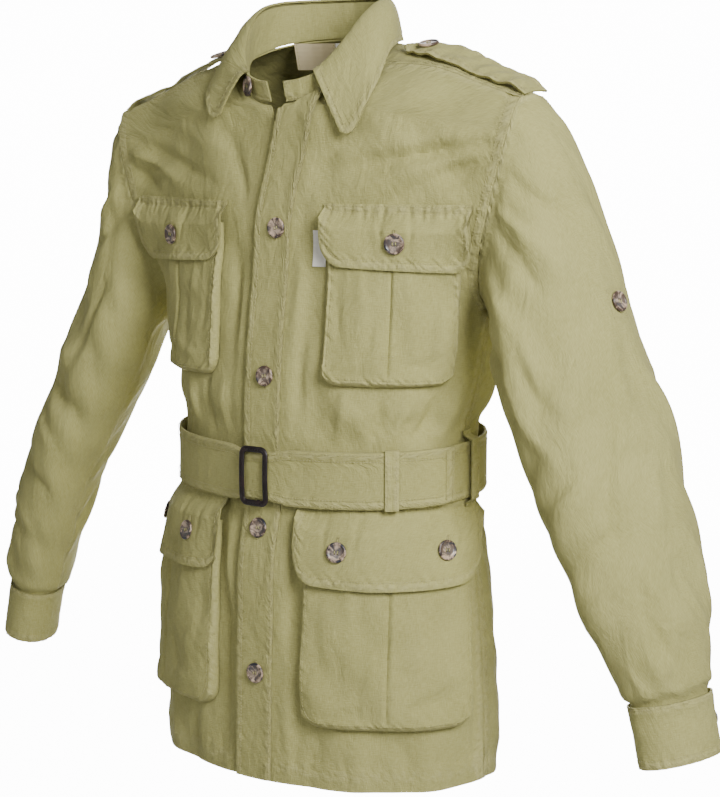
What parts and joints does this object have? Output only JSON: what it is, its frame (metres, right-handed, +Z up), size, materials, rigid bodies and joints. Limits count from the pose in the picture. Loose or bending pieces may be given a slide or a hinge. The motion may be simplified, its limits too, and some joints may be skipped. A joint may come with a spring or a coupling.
{
  "type": "safari jacket",
  "caption": "Belted safari jacket of cotton twill, hollow as worn, with stand collar, shoulder straps, flapped patch pockets, long cuffed sleeves and a buckled cloth belt.",
  "frame": {"origin": "at the base of the neck, inside the collar, where the wearer holds the jacket up", "axes": "+Z up, +X towards the wearer's left arm, -Y towards the front of the jacket"},
  "size_m": [0.8714, 0.2572, 0.7524],
  "materials": {
    "twill": "khaki cotton twill, garment washed, matt",
    "horn": "mottled horn-look resin, polished, four holes",
    "buckle_leather": "dark brown leather over a metal frame, stitched",
    "neck_label_tape": "beige woven tape, bare",
    "white_label_tape": "white woven tape, bare"
  },
  "bodies": {
    "root": {"back": "twill", "back_belt_loop": "twill", "belt": "twill", "belt_keeper": "twill", "buckle": "buckle_leather", "care_label": "white_label_tape", "collar_button": "horn", "collar_leaf": "twill", "collar_stand": "twill", "front_button_1": "horn", "front_button_2": "horn", "front_button_3": "horn", "front_button_4": "horn", "left_belt_loop": "twill", "left_chest_button": "horn", "left_chest_flap": "twill", "left_chest_pocket": "twill", "left_cuff": "twill", "left_cuff_button": "horn", "left_epaulette": "twill", "left_epaulette_button": "horn", "left_front": "twill", "left_lower_button_1": "horn", "left_lower_button_2": "horn", "left_lower_flap": "twill", "left_lower_pocket": "twill", "left_sleeve": "twill", "left_sleeve_button": "horn", "neck_label": "neck_label_tape", "placket": "twill", "pocket_label": "white_label_tape", "right_belt_loop": "twill", "right_chest_button": "horn", "right_chest_flap": "twill", "right_chest_pocket": "twill", "right_cuff": "twill", "right_cuff_button": "horn", "right_epaulette": "twill", "right_epaulette_button": "horn", "right_front": "twill", "right_lower_button_1": "horn", "right_lower_button_2": "horn", "right_lower_flap": "twill", "right_lower_pocket": "twill", "right_sleeve": "twill", "right_sleeve_button": "horn", "yoke": "twill"}
  },
  "joints": []
}
